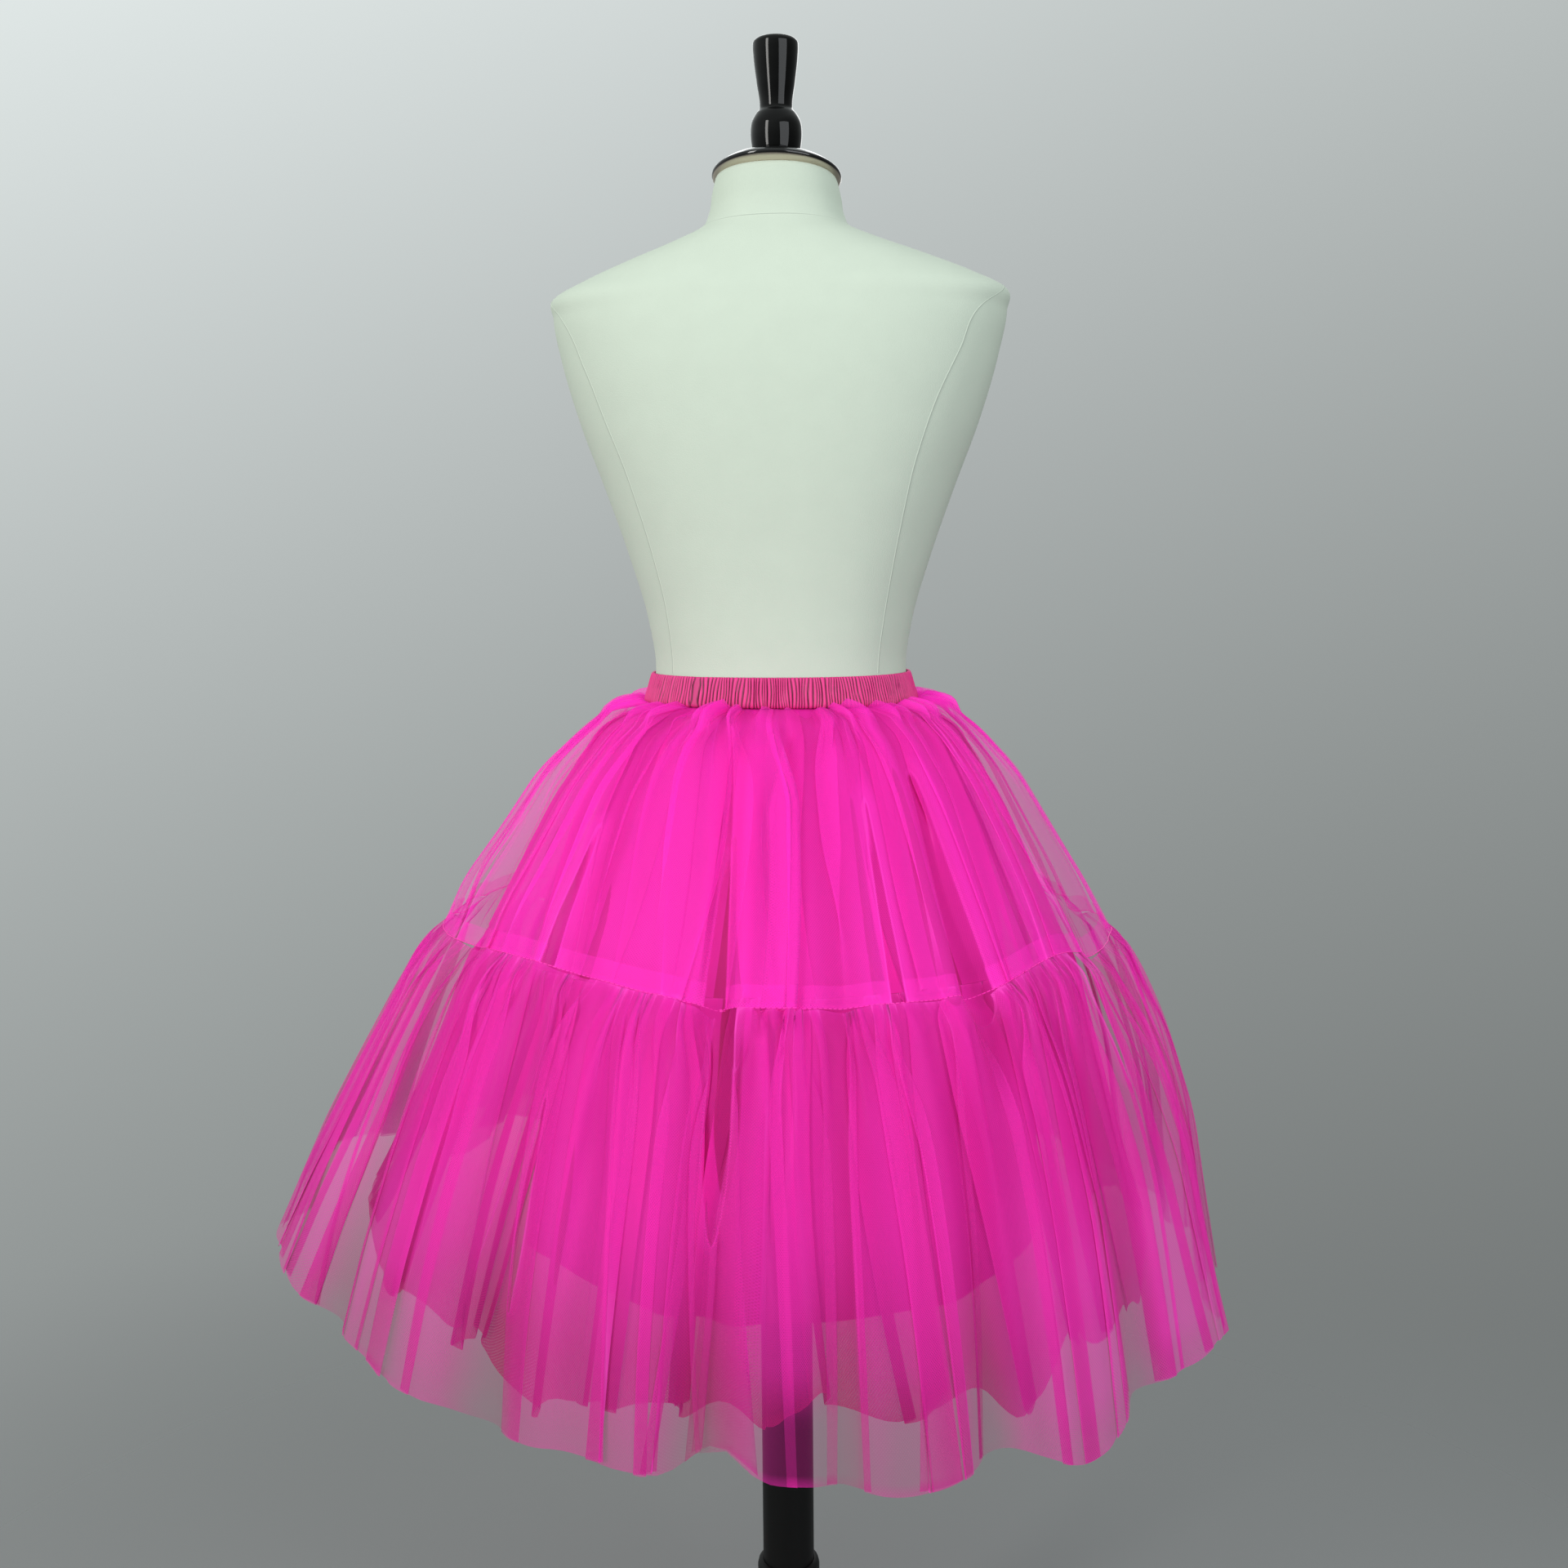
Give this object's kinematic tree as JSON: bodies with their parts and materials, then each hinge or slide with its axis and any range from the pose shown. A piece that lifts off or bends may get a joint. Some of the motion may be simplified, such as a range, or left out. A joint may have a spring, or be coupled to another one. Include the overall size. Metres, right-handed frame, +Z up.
{
  "type": "tulle tutu skirt on dress form",
  "caption": "Tiered gathered tulle skirt with ruched elastic waistband on a limbless dress form with turned finial and round-footed stand.",
  "frame": {"origin": "on the floor, at the middle of the foot's underside", "axes": "+Z up along the stand's column; -Y is the side that shows the form's back, +X to its right as seen from there"},
  "size_m": [0.8225, 0.7991, 1.563],
  "materials": {
    "waistband_satin": "ruched raspberry satin",
    "tulle": "sheer hot pink net",
    "lining": "plain hot pink lining cloth",
    "form_jersey": "ivory knit jersey over a padded form",
    "cap_enamel": "gloss black pressed plate",
    "stand_lacquer": "gloss black"
  },
  "bodies": {
    "root": {"waistband": "waistband_satin", "outer_upper_tier": "tulle", "outer_lower_tier": "tulle", "inner_upper_tier": "tulle", "inner_lower_tier": "tulle", "lining": "lining", "form_torso": "form_jersey", "neck_cap": "cap_enamel", "finial": "stand_lacquer", "column": "stand_lacquer", "collar": "stand_lacquer", "foot": "stand_lacquer"}
  },
  "joints": []
}
